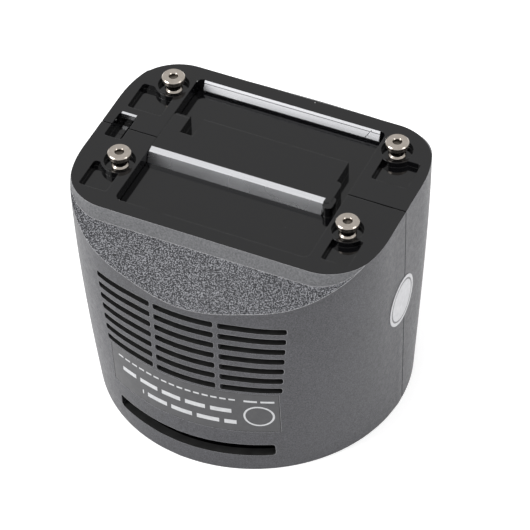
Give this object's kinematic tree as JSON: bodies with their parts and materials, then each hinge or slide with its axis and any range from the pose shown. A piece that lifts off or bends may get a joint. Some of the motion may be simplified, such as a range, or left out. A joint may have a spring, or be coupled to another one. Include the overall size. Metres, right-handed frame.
{
  "type": "studio flash head",
  "caption": "Detachable round flash head for a pocket studio strobe: vented two-half casing, contact-stud mounting face, ring flash tube, reflector and front glass.",
  "frame": {"origin": "centre of the round front rim, on the plane the head stands on", "axes": "+Z from the front rim towards the mounting face, X along the mounting face's long side, Y along its short side"},
  "size_m": [0.0767, 0.0766, 0.0644],
  "materials": {
    "shell": "dark grey satin moulding, grained on the shoulders, gloss black on the mounting face",
    "contact_plastic": "gloss black moulding",
    "strip_metal": "satin",
    "stud_metal": "nickel plated, turned",
    "fastener_steel": "black zinc and plain steel",
    "tinned_copper": "tinned",
    "insulator": "heat resistant off-white moulding",
    "label": "matt black film",
    "sticker": "white paper, plain",
    "bezel_plastic": "satin black",
    "ring_steel": "plain steel",
    "gloss_black": "gloss black",
    "lens_glass": "clear pressed glass",
    "silicone": "soft",
    "reflector_metal": "bright spun",
    "tube_glass": "clear quartz",
    "electrode_metal": "nickel",
    "board_aluminium": "white solder mask",
    "led_phosphor": "yellow phosphor",
    "heat_sink_metal": "plain extruded",
    "board_green": "green solder mask",
    "coil_lacquer": "lacquered copper winding",
    "capacitor_film": "dipped film capacitor",
    "chip_epoxy": "black epoxy",
    "connector_plastic": "natural nylon",
    "lead_red": "silicone insulated lead",
    "lead_black": "silicone insulated lead"
  },
  "bodies": {
    "root": {"shell_front": "shell", "shell_back": "shell", "contact_base": "contact_plastic", "front_guide_strip": "strip_metal", "rear_guide_strip": "strip_metal", "latch_strike_plate": "strip_metal", "contact_studs": "stud_metal", "stud_nuts": "fastener_steel", "ring_terminals": "tinned_copper", "stud_collars": "insulator", "label_plate": "label", "round_sticker": "sticker", "shell_screws": "fastener_steel", "base_screws": "fastener_steel", "board_screws": "fastener_steel", "front_bezel": "bezel_plastic", "accessory_ring": "ring_steel", "lens_holder": "gloss_black", "bezel_screws": "fastener_steel", "front_lens": "lens_glass", "lens_gasket": "silicone", "reflector": "reflector_metal", "flash_tube": "tube_glass", "tube_seals": "silicone", "tube_electrodes": "electrode_metal", "trigger_wire": "electrode_metal", "tube_carrier": "insulator", "reflector_housing": "gloss_black", "carrier_screws": "fastener_steel", "lamp_board": "board_aluminium", "lamp_leds": "led_phosphor", "lamp_heat_sink": "heat_sink_metal", "main_board": "board_green", "trigger_coil": "coil_lacquer", "trigger_capacitor": "capacitor_film", "control_chips": "chip_epoxy", "lead_connector": "connector_plastic", "power_leads": "lead_red", "board_leads": "lead_black"}
  },
  "joints": []
}
